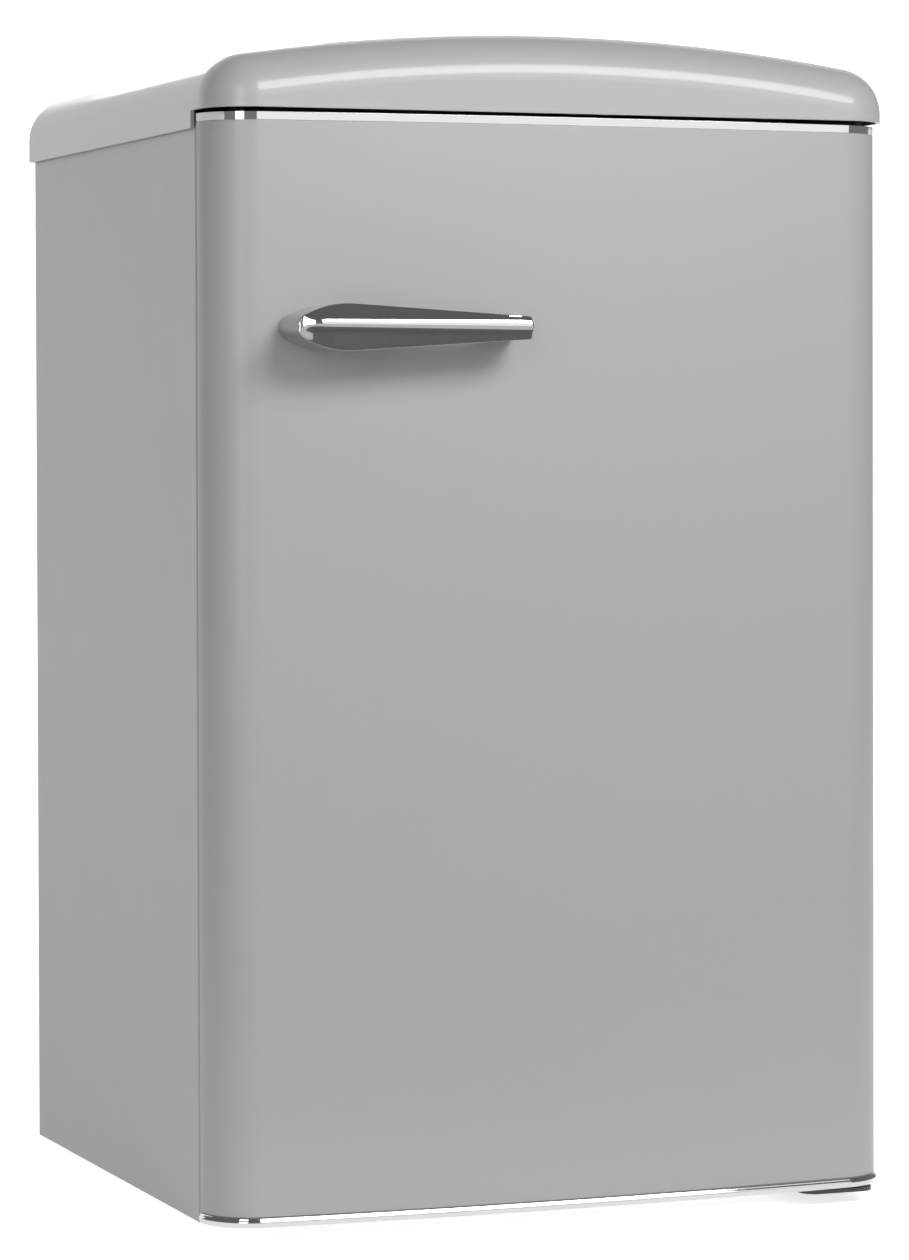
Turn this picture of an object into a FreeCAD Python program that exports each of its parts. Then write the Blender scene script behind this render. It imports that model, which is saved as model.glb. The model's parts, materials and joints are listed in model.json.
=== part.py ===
import FreeCAD, Part
import math
import os

import Sketcher
from FreeCAD import Placement, Rotation, Vector

# Retro undercounter fridge as an assembly of separate pieces.
# Millimetres, +Z up, the front faces -Y. The origin is on the floor, under the middle of the outside box.
# The driving dimensions are in the spreadsheet "Dims"; the pieces are bound to its cells.

DIMENSIONS = {
    # cabinet
    "body_w": 542.0,  # across the two painted sides
    "body_d": 446.0,  # front flange to back panel
    "front_y": -198.0,  # the front flange's plane
    "foot_gap": 12.0,  # floor to the cabinet's lower edge
    "shell_top": 826.0,  # top of the steel shell, under the lid
    "steel_t": 1.0,
    "flange_w": 43.0,  # front return flange that the gasket meets
    "wall_t": 45.0,  # outside face to inner liner, at the sides
    "liner_t": 2.0,
    "cavity_d": 401.0,
    "cavity_z0": 58.0,
    "cavity_z1": 773.0,
    "hump_y": 255.0,  # from the front plane to the step over the compressor
    "hump_z": 246.0,
    "recess_y": 296.0,  # from the front plane to the compressor recess
    "recess_z": 214.0,
    # lid
    "total_h": 895.0,
    "lid_w": 550.0,
    "lid_seam": 821.7,  # lower edge along the sides
    "lid_lip": 834.6,  # lower edge over the door
    "lid_front": 57.0,  # how far it stands in front of the flange plane
    "lid_back": 450.0,
    "lid_corner": 38.0,
    "lid_round": 35.0,
    "lid_dome": 1620.0,
    "lid_t": 3.0,
    # door
    "door_back": 9.0,  # gap from the flange plane to the door's back
    "door_w": 547.0,
    "door_corner": 39.5,
    "door_bow": 2800.0,
    "door_z0": 13.9,
    "door_z1": 831.8,
    "trim_out": 2.5,  # how far the chrome stands out of the skin
    "low_trim_h": 7.4,
    "top_trim_h": 6.0,
    "hinge_x": 255.0,
    "hinge_out": 28.0,  # axis in front of the flange plane
    "pin_r": 4.0,
    "run_gap": 0.06,  # radial clearance of pins and studs
    "seal_w": 17.0,
    "seal_x": 249.0,
    "seal_z0": 36.0,
    "seal_z1": 796.0,
    "dike_x": 214.0,
    "dike_z0": 70.0,
    "dike_z1": 762.0,
    "dike_w": 26.0,
    "dike_in": 30.0,  # how far the liner's ridge reaches behind the flange plane
    # handle
    "handle_z": 673.4,
    "handle_nose": 224.0,  # the pull's round end, left of the middle
    "handle_end": 43.0,  # its square end
    "handle_wide_x": 181.0,  # where it is tallest
    "handle_wide": 17.0,  # half its height there
    "handle_tail": 8.4,  # half its height at the square end
    "handle_tip_r": 10.0,
    "handle_end_r": 3.0,
    "handle_reach": 103.0,  # how far its face is in front of the flange plane
    "handle_bar": 15.0,  # how thick it is in front of the fingers
    # inside
    "shelf_y": 96.0,
    "shelf_d": 300.0,
    "shelf_x": 219.0,
    "glass_t": 4.0,
    "ledge_out": 12.0,
    "bin_x": 186.0,
    "bin_reach": 82.0,
    "rear_reach": 53.0,  # condenser and its spacers behind the back panel
}

document = FreeCAD.newDocument("mini_fridge")
sheet = document.addObject("Spreadsheet::Sheet", "Dims")
for row, (alias, number) in enumerate(DIMENSIONS.items(), start=1):
    sheet.set(f"A{row}", alias.replace("_", " "))
    sheet.set(f"B{row}", str(number))
    sheet.setAlias(f"B{row}", alias)
document.recompute()


class Size:
    """A length worked out from spreadsheet cells: its number, and the expression that gives it."""

    def __init__(self, number, text):
        self.number = float(number)
        self.text = text

    def _with(self, other, sign, value):
        text = other.text if isinstance(other, Size) else f"{other:g}"
        return Size(value, f"({self.text} {sign} {text})")

    def __float__(self):
        return self.number

    def __add__(self, other):
        return self._with(other, "+", self.number + float(other))

    def __sub__(self, other):
        return self._with(other, "-", self.number - float(other))

    def __mul__(self, other):
        return self._with(other, "*", self.number * float(other))

    def __truediv__(self, other):
        return self._with(other, "/", self.number / float(other))

    def __neg__(self):
        return Size(-self.number, f"(-{self.text})")

    def __radd__(self, other):
        return size(other) + self

    def __rsub__(self, other):
        return size(other) - self


def size(value):
    """A plain number or a Size, as a Size."""
    return value if isinstance(value, Size) else Size(value, f"({float(value):g})")


class Dims:
    """The spreadsheet's cells by alias."""

    def __getattr__(self, alias):
        return Size(sheet.get(alias), f"Dims.{alias}")


D = Dims()
pieces = []


def bind(thing, settings):
    for name, value in settings.items():
        thing.setExpression(name, size(value).text)


def named(thing, label):
    """thing is a finished sub-part, written to parts/label.step."""
    thing.Label = label
    pieces.append(thing)
    return thing


def at_y(distance):
    """A place that far behind the front flange's plane."""
    return D.front_y + distance


# ---------------------------------------------------------------- primitives and booleans


def box(x, y, z, name="block"):
    """A block between two places on each axis."""
    made = document.addObject("Part::Box", name)
    x, y, z = ([size(v) for v in pair] for pair in (x, y, z))
    bind(made, {
        "Length": x[1] - x[0],
        "Width": y[1] - y[0],
        "Height": z[1] - z[0],
        "Placement.Base.x": x[0],
        "Placement.Base.y": y[0],
        "Placement.Base.z": z[0],
    })
    return made


def rod(radius, start, length, axis="Z", name="rod"):
    """A cylinder from start along an axis."""
    made = document.addObject("Part::Cylinder", name)
    turns = {"Z": Rotation(), "X": Rotation(Vector(0, 1, 0), 90), "Y": Rotation(Vector(1, 0, 0), -90)}
    made.Placement = Placement(Vector(), turns[axis])
    bind(made, {
        "Radius": radius,
        "Height": length,
        "Placement.Base.x": start[0],
        "Placement.Base.y": start[1],
        "Placement.Base.z": start[2],
    })
    return made


def fuse(*shapes):
    if len(shapes) == 1:
        return shapes[0]
    made = document.addObject("Part::MultiFuse", "joined")
    made.Shapes = list(shapes)
    made.Refine = True
    return made


def cut(base, *tools):
    made = document.addObject("Part::Cut", "opened")
    made.Base = base
    made.Tool = fuse(*tools)
    made.Refine = True
    return made


def common(base, tool):
    made = document.addObject("Part::Common", "shared")
    made.Base = base
    made.Tool = tool
    made.Refine = True
    return made


def group(*shapes):
    """Separate solids that share one node."""
    made = document.addObject("Part::Compound", "set")
    made.Links = list(shapes)
    return made


def rounded(base, radius, wanted):
    """base with the edges that wanted(edge) picks rounded."""
    document.recompute()
    made = document.addObject("Part::Fillet", "rounded")
    made.Base = base
    radius = float(radius)
    made.Edges = [
        (n, radius, radius) for n, edge in enumerate(base.Shape.Edges, start=1) if wanted(edge)
    ]
    if not made.Edges:
        raise ValueError(f"no edge to round on {base.Name}")
    return made


def along(axis):
    """Picks straight edges along an axis."""
    unit = {"X": Vector(1, 0, 0), "Y": Vector(0, 1, 0), "Z": Vector(0, 0, 1)}[axis]

    def wanted(edge):
        if not isinstance(edge.Curve, Part.Line):
            return False
        return abs(edge.Curve.Direction.dot(unit)) > 0.999

    return wanted


def hollow(x, y, z, wall, corner=8.0, floor=None):
    """A tray: a block with rounded upright edges and a hollow that is open on top."""
    floor = wall if floor is None else floor
    outside = rounded(box(x, y, z), corner, along("Z"))
    inner_x, inner_y = ((size(p[0]) + wall, size(p[1]) - wall) for p in (x, y))
    inside = rounded(box(inner_x, inner_y, (size(z[0]) + floor, size(z[1]) + 5)), corner - wall, along("Z"))
    return cut(outside, inside)


# ---------------------------------------------------------------- sketch-based bodies


def new_body(label):
    made = document.addObject("PartDesign::Body", "body")
    made.Label = label
    return made


def origin_plane(body, role):
    return next(f for f in body.Origin.OriginFeatures if f.Role == role)


def new_sketch(body, role, offset=0.0):
    """A sketch on one of the body's own planes, moved along the plane's normal."""
    made = body.newObject("Sketcher::SketchObject", "profile")
    made.AttachmentSupport = [(origin_plane(body, role), "")]
    made.MapMode = "FlatFace"
    made.setExpression("AttachmentOffset.Base.z", size(offset).text)
    return made


def fixed(sketch, kind, *where, value):
    """A dimension of the sketch, bound to the sheet."""
    value = size(value)
    number = sketch.addConstraint(Sketcher.Constraint(kind, *where, value.number))
    sketch.setExpression(f"Constraints[{number}]", value.text)


def polygon(sketch, corners):
    """A closed outline of straight lines, each corner fixed by its two distances from the origin."""
    corners = [(size(a), size(b)) for a, b in corners]
    points = [Vector(a.number, b.number, 0) for a, b in corners]
    first = sketch.GeometryCount
    for start, end in zip(points, points[1:] + points[:1]):
        sketch.addGeometry(Part.LineSegment(start, end), False)
    count = len(points)
    for n in range(count):
        sketch.addConstraint(
            Sketcher.Constraint("Coincident", first + n, 2, first + (n + 1) % count, 1)
        )
    for n, (a, b) in enumerate(corners):
        for kind, value, flat in (("DistanceX", a, "PointOnObject"), ("DistanceY", b, "PointOnObject")):
            if abs(value.number) < 1e-9:
                axis = -2 if kind == "DistanceX" else -1
                sketch.addConstraint(Sketcher.Constraint(flat, first + n, 1, axis))
            else:
                fixed(sketch, kind, -1, 1, first + n, 1, value=value)
    return sketch


def feature(body, kind, sketch, settings=None, **plain):
    made = body.newObject(f"PartDesign::{kind}", kind.lower())
    made.Profile = sketch
    for name, value in plain.items():
        setattr(made, name, value)
    bind(made, settings or {})
    sketch.Visibility = False
    return made


def pad(body, sketch, length, **plain):
    return feature(body, "Pad", sketch, {"Length": length}, **plain)


def turned(label, corners, where, axis="Z"):
    """A body turned about an axis of its own, from half of its section (radius, height), put at where."""
    body = new_body(label)
    sketch = polygon(new_sketch(body, "XZ_Plane"), corners)
    made = body.newObject("PartDesign::Revolution", "turned")
    made.Profile = sketch
    made.ReferenceAxis = (sketch, ["V_Axis"])
    made.Angle = 360.0
    turns = {"Z": Rotation(), "X": Rotation(Vector(0, 1, 0), 90), "Y": Rotation(Vector(1, 0, 0), 90)}
    body.Placement = Placement(Vector(), turns[axis])
    bind(body, {f"Placement.Base.{a}": v for a, v in zip("xyz", where)})
    return body


def door_outline(sketch, inset, back):
    """The door's plan: a straight back, round corners and a bowed front, inset from the painted skin."""
    half = D.door_w / 2 - inset
    corner = D.door_corner - inset
    bow = D.door_bow - inset
    back = size(back)
    centre_x = half.number - corner.number
    centre_y = back.number + math.sqrt((bow.number - corner.number) ** 2 - centre_x**2)
    lean = math.atan2(centre_y - back.number, centre_x)
    up = Vector(0, 0, 1)

    def arc(x, y, radius, low, high):
        return Part.ArcOfCircle(Part.Circle(Vector(x, y, 0), up, radius), low, high)

    line = sketch.addGeometry(
        Part.LineSegment(Vector(half.number, back.number, 0), Vector(-half.number, back.number, 0))
    )
    left = sketch.addGeometry(
        arc(-centre_x, back.number, corner.number, math.pi, math.pi + lean)
    )
    front = sketch.addGeometry(
        arc(0, centre_y, bow.number, math.pi + lean, 2 * math.pi - lean)
    )
    right = sketch.addGeometry(arc(centre_x, back.number, corner.number, 2 * math.pi - lean, 2 * math.pi))
    for rule in (
        ("Coincident", line, 2, left, 1),
        ("Tangent", left, 2, front, 1),
        ("Tangent", front, 2, right, 1),
        ("Coincident", right, 2, line, 1),
        ("Symmetric", line, 1, line, 2, -2),
        ("Equal", left, right),
        ("Horizontal", right, 3, line, 1),
        ("Horizontal", left, 3, line, 2),
    ):
        sketch.addConstraint(Sketcher.Constraint(*rule))
    fixed(sketch, "Radius", right, value=corner)
    fixed(sketch, "Radius", front, value=bow)
    fixed(sketch, "DistanceX", line, 2, line, 1, value=half * 2)
    fixed(sketch, "DistanceY", -1, 1, line, 1, value=back)
    return sketch


def slab(name, inset, z0, z1, back=None):
    """The door's plan, inset from the skin, between two heights."""
    body = new_body(name)
    back = at_y(-D.door_back) if back is None else back
    pad(body, door_outline(new_sketch(body, "XY_Plane", z0), inset, back), size(z1) - z0)
    return body


def extruded(name, corners, x0, x1):
    """A profile in Y and Z, between two places across the cabinet."""
    body = new_body(name)
    pad(body, polygon(new_sketch(body, "YZ_Plane", x0), corners), size(x1) - x0)
    return body


def frame(x, z, y, width, corner=0.0):
    """A rectangular ring standing upright, width wide."""
    outside = box(x, y, z)
    inside = box(
        (x[0] + width, x[1] - width), (size(y[0]) - 1, size(y[1]) + 1), (z[0] + width, z[1] - width)
    )
    if corner:
        outside = rounded(outside, corner, along("Y"))
        inside = rounded(inside, max(corner - float(width), 1.5), along("Y"))
    return cut(outside, inside)


def tube(name, points, radius, bend):
    """A rod bent through points, with rounded bends."""
    points = [Vector(*(float(v) for v in point)) for point in points]
    radius = float(radius)
    edges = []
    last = points[0]
    for before, here, after in zip(points, points[1:], points[2:]):
        back = (before - here).normalize()
        on = (after - here).normalize()
        half = back.getAngle(on) / 2
        run = bend / math.tan(half)
        start = here + back * run
        end = here + on * run
        middle = (back + on).normalize()
        centre = here + middle * (bend / math.sin(half))
        edges.append(Part.makeLine(last, start))
        edges.append(Part.Arc(start, centre - middle * bend, end).toShape())
        last = end
    edges.append(Part.makeLine(last, points[-1]))
    path = Part.Wire(edges)
    way = (points[1] - points[0]).normalize()
    ring = Part.Wire([Part.makeCircle(radius, points[0], way)])
    made = document.addObject("Part::Feature", name)
    made.Shape = path.makePipeShell([ring], True, False)
    return made


# ---------------------------------------------------------------- places shared by several pieces

half_w = D.body_w / 2
steel_x = half_w - D.steel_t
front = D.front_y
back_y = at_y(D.body_d)
cavity_x = half_w - D.wall_t
liner_x = cavity_x + D.liner_t
liner_z0 = D.cavity_z0 - D.liner_t
liner_z1 = D.cavity_z1 + D.liner_t
cavity_back = at_y(D.cavity_d)
hump_front = at_y(D.hump_y)
recess_front = at_y(D.recess_y)
door_rear = at_y(-D.door_back)
pin_y = at_y(-D.hinge_out)
pin_hole = D.pin_r + D.run_gap
screw_r = 2.0
screw_hole = screw_r + D.run_gap
feet = {"left": (-180, at_y(51)), "right": (180, at_y(51))}
stud_hole = 4 + D.run_gap
hinge_screw_places = ((218, at_y(48)), (248, at_y(48)))
drain = (-30, at_y(328))
shelf_levels = (378.0, 500.0, 622.0)
handle_posts = (-200.0, -52.0)
plan_x = float(D.door_w / 2 - D.door_corner)
bow_centre_y = float(door_rear) + math.sqrt(float(D.door_bow - D.door_corner) ** 2 - plan_x**2)

# ---------------------------------------------------------------- cabinet: steel, foam, liner

shell = box((-half_w, half_w), (front, back_y), (D.foot_gap, D.shell_top))
shell = rounded(shell, 3, lambda e: along("Z")(e) and e.CenterOfMass.y < 0)
core = box((-steel_x, steel_x), (front + D.steel_t, back_y + 1), (D.foot_gap - 1, D.shell_top - D.steel_t))
opening = box((-liner_x, liner_x), (front - 1, front + 2), (liner_z0, liner_z1))
tabs = [
    box((x - 12, x + 12), (back_y - 6, back_y), (D.shell_top, D.shell_top + 22)) for x in (-160, 160)
]
tab_holes = [rod(screw_hole, (x, back_y - 7, D.shell_top + 12), 10, "Y") for x in (-160, 160)]
upper_holes = [rod(screw_hole, (*p, D.shell_top - 9), 10) for p in hinge_screw_places]
lower_holes = [rod(screw_hole, (*p, D.foot_gap - 1), 10) for p in hinge_screw_places]
stud_holes = [rod(stud_hole, (*p, D.foot_gap - 1), 32) for p in feet.values()]
named(cut(fuse(cut(shell, core, opening), *tabs), *tab_holes, *upper_holes), "outer_wrap")

low, high = D.foot_gap, D.foot_gap + D.steel_t
pan_front = front + D.steel_t
pan = extruded("pan", [
    (pan_front, low), (recess_front, low), (recess_front, D.recess_z - D.steel_t),
    (back_y - D.steel_t, D.recess_z - D.steel_t), (back_y - D.steel_t, D.recess_z),
    (recess_front - D.steel_t, D.recess_z), (recess_front - D.steel_t, high), (pan_front, high),
], -steel_x, D.body_w - D.steel_t * 2 - steel_x)
drain_hole = rod(7 + D.run_gap, (*drain, D.recess_z - 2), 4)
named(cut(pan, *lower_holes, *stud_holes, drain_hole), "bottom_pan")

panel_height = (D.recess_z - D.steel_t, D.shell_top - D.steel_t)
named(box((-steel_x, steel_x), (back_y - D.steel_t, back_y), panel_height), "back_panel")

liner_out = box((-liner_x, liner_x), (front, cavity_back + D.liner_t), (liner_z0, liner_z1))
liner_out = rounded(liner_out, 14, along("Y"))
hump_out = box(
    (-liner_x - 1, liner_x + 1),
    (hump_front + D.liner_t, cavity_back + 5),
    (liner_z0 - 1, D.hump_z - D.liner_t),
)
liner_out = cut(liner_out, hump_out)
liner_in = box((-cavity_x, cavity_x), (front - 1, cavity_back), (D.cavity_z0, D.cavity_z1))
liner_in = rounded(liner_in, 12, along("Y"))
liner_in = cut(liner_in, box((-240, 240), (hump_front, cavity_back + 1), (40, D.hump_z)))

foam_block = box(
    (-steel_x, steel_x), (pan_front, back_y - D.steel_t), (high, D.shell_top - D.steel_t)
)
foam_recess = box((-280, 280), (recess_front - D.steel_t, back_y + 1), (0, D.recess_z))
plate_z = (D.hump_z + 20, D.cavity_z1 - 20)
evaporator = box((-190, 190), (cavity_back + D.liner_t, cavity_back + D.liner_t + 1.5), plate_z)
drain_bore = rod(7, (*drain, D.recess_z - 2), 60)
named(cut(
    foam_block, foam_recess, liner_out, evaporator, drain_bore, *upper_holes, *lower_holes, *stud_holes,
), "cabinet_foam")
named(evaporator, "evaporator_plate")

ledges = []
ledge_in = cavity_x - D.ledge_out
for z in (*shelf_levels, D.hump_z):
    depth = (at_y(D.shelf_y) + 0.5, cavity_back + 1 if z in shelf_levels else hump_front + 1)
    for x in ((ledge_in, cavity_x + 1), (-cavity_x - 1, -ledge_in)):
        ledge = box(x, depth, (size(z) - 9, z))
        ledges.append(rounded(ledge, 3, lambda e: along("Y")(e) and abs(e.CenterOfMass.x) < 220))
runner_z = (D.cavity_z0 - 1, D.cavity_z0 + 3)
runners = [box((x - 6, x + 6), (front + 36, hump_front + 1), runner_z) for x in (-150, 150)]
liner = fuse(cut(liner_out, liner_in), *ledges, *runners)
named(cut(liner, rod(5, (*drain, D.hump_z - 10), 20)), "inner_liner")

# ---------------------------------------------------------------- lid


def lid_block(inset):
    """The domed lid as a solid, inset from its outside: round corners in front, square ones behind."""
    inset = size(inset)
    half = D.lid_w / 2 - inset
    depth = (at_y(-D.lid_front) + inset, at_y(D.lid_back) - inset)
    block = box((-half, half), depth, (D.lid_seam, D.total_h + 5))
    block = rounded(block, D.lid_corner - inset, lambda e: along("Z")(e) and e.CenterOfMass.y < 0)
    radius = D.lid_dome - inset
    dome = rod(radius, (0, -400, D.total_h - inset - radius), 900, "Y")
    block = common(block, dome)
    return rounded(block, D.lid_round - inset, lambda e: e.BoundBox.ZMin > 860)


lid_out = lid_block(0)
lid_in = lid_block(D.lid_t)
lid_mouth = fuse(
    box((-300, 300), (at_y(-84), front), (D.lid_seam - 1, D.lid_lip)),
    box((-272, 272), (front - 1, at_y(D.lid_back) - D.lid_t), (D.lid_seam - 1, D.lid_seam + 1)),
)
bosses = [
    rod(7, (x, y, D.shell_top), 80) for x in (-200, 200) for y in (at_y(126), at_y(346))
]
bosses = common(fuse(*bosses), lid_out)
lid_holes = [rod(screw_hole, (x, back_y, D.shell_top + 12), 8, "Y") for x in (-160, 160)]
named(cut(fuse(cut(lid_out, lid_in, lid_mouth), bosses), *lid_holes), "lid")


def screw(x, y, z, axis, length, head):
    """A pan-head screw: its shank runs along the axis from the place given, its head the other way."""
    turn = {"+Z": (0, 0, 1), "-Z": (0, 0, -1), "-Y": (0, -1, 0)}[axis]
    made = new_body("screw")
    sketch = polygon(new_sketch(made, "XZ_Plane"), [
        (0, -head), (3, -head), (4, -head + 1), (4, 0), (screw_r, 0), (screw_r, length), (0, length),
    ])
    spin = made.newObject("PartDesign::Revolution", "turned")
    spin.Profile = sketch
    spin.ReferenceAxis = (sketch, ["V_Axis"])
    spin.Angle = 360.0
    made.Placement = Placement(Vector(), Rotation(Vector(0, 0, 1), Vector(*turn)))
    bind(made, {"Placement.Base.x": x, "Placement.Base.y": y, "Placement.Base.z": z})
    return made


lid_back_y = at_y(D.lid_back)
named(group(*(screw(x, lid_back_y, D.shell_top + 12, "-Y", 9, 2) for x in (-160, 160))), "lid_screws")

# ---------------------------------------------------------------- hinges

bracket_front = pin_y - 14
plate_t = 3
rise = D.lid_lip + 1.4
upper_front = pin_y - 9
upper = extruded("upper", [
    (front + 66, D.shell_top), (front + 66, D.shell_top + plate_t), (front + 20, D.shell_top + plate_t),
    (front + 20, rise + plate_t), (upper_front, rise + plate_t), (upper_front, rise),
    (front + 17, rise), (front + 17, D.shell_top),
], 204, 262)
upper_pin = rod(D.pin_r, (D.hinge_x, pin_y, D.door_z1 - 14), rise + 1 - D.door_z1 + 14)
upper_cuts = [rod(screw_hole, (*p, D.shell_top - 1), 6) for p in hinge_screw_places]
named(cut(fuse(upper, upper_pin), *upper_cuts), "upper_hinge")

lower = rounded(
    box((204, 264), (bracket_front, front + 66), (D.foot_gap - plate_t, D.foot_gap)), 12, along("Z")
)
lower_pin = rod(D.pin_r, (D.hinge_x, pin_y, D.foot_gap - plate_t), D.door_z0 + 14 - D.foot_gap + plate_t)
lower_cuts = [rod(screw_hole, (*p, D.foot_gap - 5), 10) for p in hinge_screw_places]
named(cut(fuse(lower, lower_pin), *lower_cuts), "lower_hinge")
named(group(
    *(screw(*p, D.shell_top + plate_t, "-Z", 9, 2.4) for p in hinge_screw_places),
    *(screw(*p, D.foot_gap - plate_t, "+Z", 9, 2.4) for p in hinge_screw_places),
), "hinge_screws")

# ---------------------------------------------------------------- feet

for side, place in feet.items():
    named(turned("foot", [
        (0, 0), (15, 0), (16, 1), (16, 7), (14, 9), (4, 9), (4, 36), (3, 37.5), (0, 37.5),
    ], (*place, 0)), f"front_foot_{side}")
rear_feet = [rounded(rod(15, (x, back_y - 28, 0), D.foot_gap), 1.2, lambda e: True) for x in (-225, 225)]
named(group(*rear_feet), "rear_feet")

# ---------------------------------------------------------------- cooling circuit

machine_x, machine_y = -70, at_y(366)
machine_z = D.foot_gap + 17
named(box((-steel_x, steel_x), (recess_front, back_y), (D.foot_gap, D.foot_gap + 2)), "compressor_plate")
pot_r = 58
pot = rounded(rod(pot_r, (machine_x, machine_y, machine_z + 3), 128), 26, lambda e: e.Length > 300)
sole_plan = (machine_x - 82, machine_x + 82), (machine_y - 48, machine_y + 48)
sole = rounded(box(*sole_plan, (machine_z, machine_z + 3)), 10, along("Z"))
seam = rod(pot_r + 1.6, (machine_x, machine_y, machine_z + 66), 5)
named(fuse(pot, sole, seam), "compressor")
grommets = [
    rod(10, (machine_x + a, machine_y + b, D.foot_gap + 2.3), machine_z - D.foot_gap - 2.6)
    for a in (-70, 70) for b in (-36, 36)
]
named(group(*(rounded(thing, 2, lambda e: True) for thing in grommets)), "compressor_grommets")
relay_plan = (machine_x - 92, machine_x - 40), (machine_y - 28, machine_y + 28)
relay = rounded(box(*relay_plan, (machine_z + 12, machine_z + 62)), 4, lambda e: True)
named(cut(relay, rod(pot_r + 0.02, (machine_x, machine_y, machine_z - 10), 150)), "relay_cover")
tray_z = machine_z + 131
tray_plan = (machine_x - 75, machine_x + 75), (machine_y - 52, machine_y + 52)
named(hollow(*tray_plan, (tray_z, tray_z + 26), 2, 12), "evaporation_tray")
drain_z = tray_z + 12
spout = rod(7, (*drain, drain_z), D.hump_z - D.liner_t - drain_z)
named(cut(spout, rod(5, (*drain, drain_z - 1), 90)), "drain_tube")

rear = at_y(D.body_d + D.rear_reach)
coil_y = rear - 12
coil_r = 2.4
rows = 11
pitch = 50.0
coil_x = 225
coil_z0 = 252.0
path = [(-150, coil_y, coil_z0)]
for n in range(rows - 1):
    x = coil_x if n % 2 == 0 else -coil_x
    z = coil_z0 + n * pitch
    path += [(x, coil_y, z), (x, coil_y, z + pitch)]
coil_top = coil_z0 + (rows - 1) * pitch
condenser_tube = tube("coil", [*path, (215, coil_y, coil_top), (215, back_y, coil_top)], coil_r, 8)
wire_r = 0.8
wire_y = (coil_y - coil_r - wire_r, coil_y + coil_r + wire_r)
wires = [
    rod(wire_r, (-195 + 15 * n, wire_y[n % 2], coil_z0 - 12), 10 * pitch + 24) for n in range(27)
]
named(group(condenser_tube, *wires), "condenser")
clips = [
    rounded(box((x - 7, x + 7), (back_y, coil_y - coil_r), (z - 9, z + 9)), 2.5, along("Y"))
    for x in (-205, 205) for z in (coil_z0 + pitch, coil_z0 + 9 * pitch)
]
named(group(*clips), "condenser_clips")
stops = [
    rounded(box((x - 9, x + 9), (back_y, rear), (790, 816)), 3, lambda e: True) for x in (-240, 240)
]
named(group(*stops), "wall_spacers")

dryer_x, dryer_z = 100, 70
named(turned("dryer", [
    (0, 0), (3, 0), (4, 5), (9, 12), (9, 88), (4, 96), (3, 102), (0, 102),
], (dryer_x, machine_y + 25, dryer_z)), "filter_drier")
pot_space = rod(pot_r, (machine_x, machine_y, machine_z - 10), 150)
named(cut(tube("discharge", [
    (machine_x + pot_r - 3, machine_y + 10, machine_z + 95), (20, machine_y + 10, machine_z + 95),
    (20, coil_y, machine_z + 95), (20, coil_y, 236), (-140, coil_y, 236), (-140, coil_y, coil_z0 - 2.5),
], 2.4, 8), pot_space), "discharge_pipe")
named(tube("liquid", [
    (dryer_x, machine_y + 25, dryer_z + 102), (dryer_x, machine_y + 25, 196), (dryer_x, machine_y - 20, 196),
    (dryer_x + 60, machine_y - 20, 196), (dryer_x + 60, machine_y - 20, D.recess_z - D.steel_t),
], 1.2, 6), "capillary")
named(cut(tube("suction", [
    (machine_x + pot_r - 3, machine_y - 10, machine_z + 45), (40, machine_y - 10, machine_z + 45),
    (40, machine_y - 10, D.recess_z - D.steel_t),
], 3.2, 12), pot_space), "suction_pipe")
gland = rounded(rod(9, (170, back_y - 30, D.foot_gap + 2), 16), 2, lambda e: True)
named(cut(gland, rod(4, (170, back_y - 30, D.foot_gap + 6), 30)), "cable_gland")

# ---------------------------------------------------------------- inside the cabinet

shelf_front = at_y(D.shelf_y)
glass_back = shelf_front + D.shelf_d
glass_levels = (*shelf_levels, D.hump_z)
glass_names = ("glass_shelf_low", "glass_shelf_middle", "glass_shelf_top", "crisper_cover")
for label, z in zip(glass_names, glass_levels):
    named(box((-D.shelf_x, D.shelf_x), (shelf_front, glass_back), (z, size(z) + D.glass_t)), label)


def edge_trim(z, way, y):
    """A plastic moulding that hugs one long edge of a glass shelf."""
    z = size(z)
    high = z + D.glass_t
    lip = 12 * way
    drop = z - 7 if way < 0 else z
    out = y + way * 3
    corners = [(y - lip, high), (y - lip, high + 2), (out, high + 2), (out, drop), (y, drop), (y, high)]
    return extruded("edge", corners, 2 - D.shelf_x, D.shelf_x * 2 - 4 + (2 - D.shelf_x))


named(group(*(edge_trim(z, -1, shelf_front) for z in glass_levels)), "shelf_front_trims")
named(group(*(edge_trim(z, 1, glass_back) for z in glass_levels)), "shelf_rear_trims")

ceiling = D.cavity_z1
housing_z = ceiling - 38
housing = box((60, 200), (at_y(76), at_y(236)), (housing_z, ceiling))
housing = rounded(housing, 8, lambda e: e.BoundBox.ZMax < 760)
housing_in = box((64, 196), (at_y(80), at_y(232)), (housing_z + 3, ceiling))
window = box((72, 188), (at_y(126), at_y(221)), (housing_z - 1, housing_z + 4))
shaft_hole = rod(4 + D.run_gap, (130, at_y(75), housing_z + 19), 6, "Y")
named(cut(housing, housing_in, window, shaft_hole), "control_housing")
named(box((72, 188), (at_y(126), at_y(221)), (housing_z, housing_z + 3)), "lamp_lens")
named(turned("bulb", [
    (0, 0), (9, 0), (9, 20), (13, 30), (13, 40), (8, 50), (0, 52),
], (96, at_y(171), housing_z + 19), "X"), "lamp_bulb")
knob = turned("knob", [
    (0, -12), (4, -12), (4, 0.5), (17, 0.5), (17, 12), (15, 14), (0, 14),
], (130, at_y(76), housing_z + 19), "Y")
mark = box((129, 131), (at_y(61), at_y(64)), (housing_z + 24, housing_z + 33))
named(cut(knob, mark), "thermostat_knob")

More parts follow.
